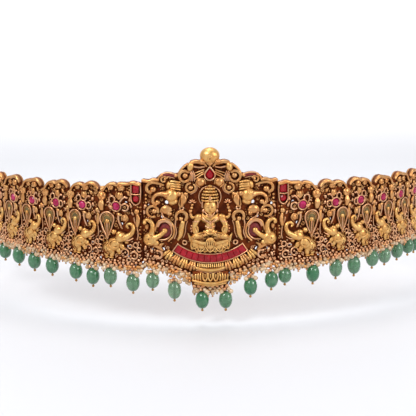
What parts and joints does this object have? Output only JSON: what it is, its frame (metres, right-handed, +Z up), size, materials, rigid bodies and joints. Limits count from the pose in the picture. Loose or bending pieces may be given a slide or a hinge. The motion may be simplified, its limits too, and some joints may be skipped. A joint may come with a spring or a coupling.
{
  "type": "oddiyanam waist belt",
  "caption": "Temple-jewellery waist belt: relief plaque, graded elephant panels with rubies, green bead drops, plain clasped back.",
  "frame": {"origin": "centre of the waist hollow, level with the side panels' ruby flowers, where the belt sits on the waist", "axes": "+Z up along the body, the relief plaque faces -Y, +X to the right as seen from the front"},
  "size_m": [0.2616, 0.2168, 0.0794],
  "materials": {
    "antique_gold": "antique gold, polished relief on oxidised ground",
    "ruby": "cut and polished",
    "green_bead": "polished, cloudy"
  },
  "bodies": {
    "root": {"centre_plaque": "antique_gold", "panel_left_1": "antique_gold", "panel_left_2": "antique_gold", "panel_left_3": "antique_gold", "panel_left_4": "antique_gold", "panel_left_5": "antique_gold", "panel_left_6": "antique_gold", "panel_right_1": "antique_gold", "panel_right_2": "antique_gold", "panel_right_3": "antique_gold", "panel_right_4": "antique_gold", "panel_right_5": "antique_gold", "panel_right_6": "antique_gold", "drop_pins": "antique_gold", "hinge_pins": "antique_gold", "back_band_left": "antique_gold", "back_band_right": "antique_gold", "back_clasp": "antique_gold", "pear_ruby": "ruby", "channel_rubies": "ruby", "strip_rubies": "ruby", "ruby_left_1": "ruby", "ruby_left_2": "ruby", "ruby_left_3": "ruby", "ruby_left_4": "ruby", "ruby_left_5": "ruby", "ruby_left_6": "ruby", "ruby_right_1": "ruby", "ruby_right_2": "ruby", "ruby_right_3": "ruby", "ruby_right_4": "ruby", "ruby_right_5": "ruby", "ruby_right_6": "ruby", "drop_bead_01": "green_bead", "drop_bead_02": "green_bead", "drop_bead_03": "green_bead", "drop_bead_04": "green_bead", "drop_bead_05": "green_bead", "drop_bead_06": "green_bead", "drop_bead_07": "green_bead", "drop_bead_08": "green_bead", "drop_bead_09": "green_bead", "drop_bead_10": "green_bead", "drop_bead_11": "green_bead", "drop_bead_12": "green_bead", "drop_bead_13": "green_bead", "drop_bead_14": "green_bead", "drop_bead_15": "green_bead", "drop_bead_16": "green_bead", "drop_bead_17": "green_bead", "drop_bead_18": "green_bead", "drop_bead_19": "green_bead", "drop_bead_20": "green_bead", "drop_bead_21": "green_bead", "drop_bead_22": "green_bead", "drop_bead_23": "green_bead"}
  },
  "joints": []
}
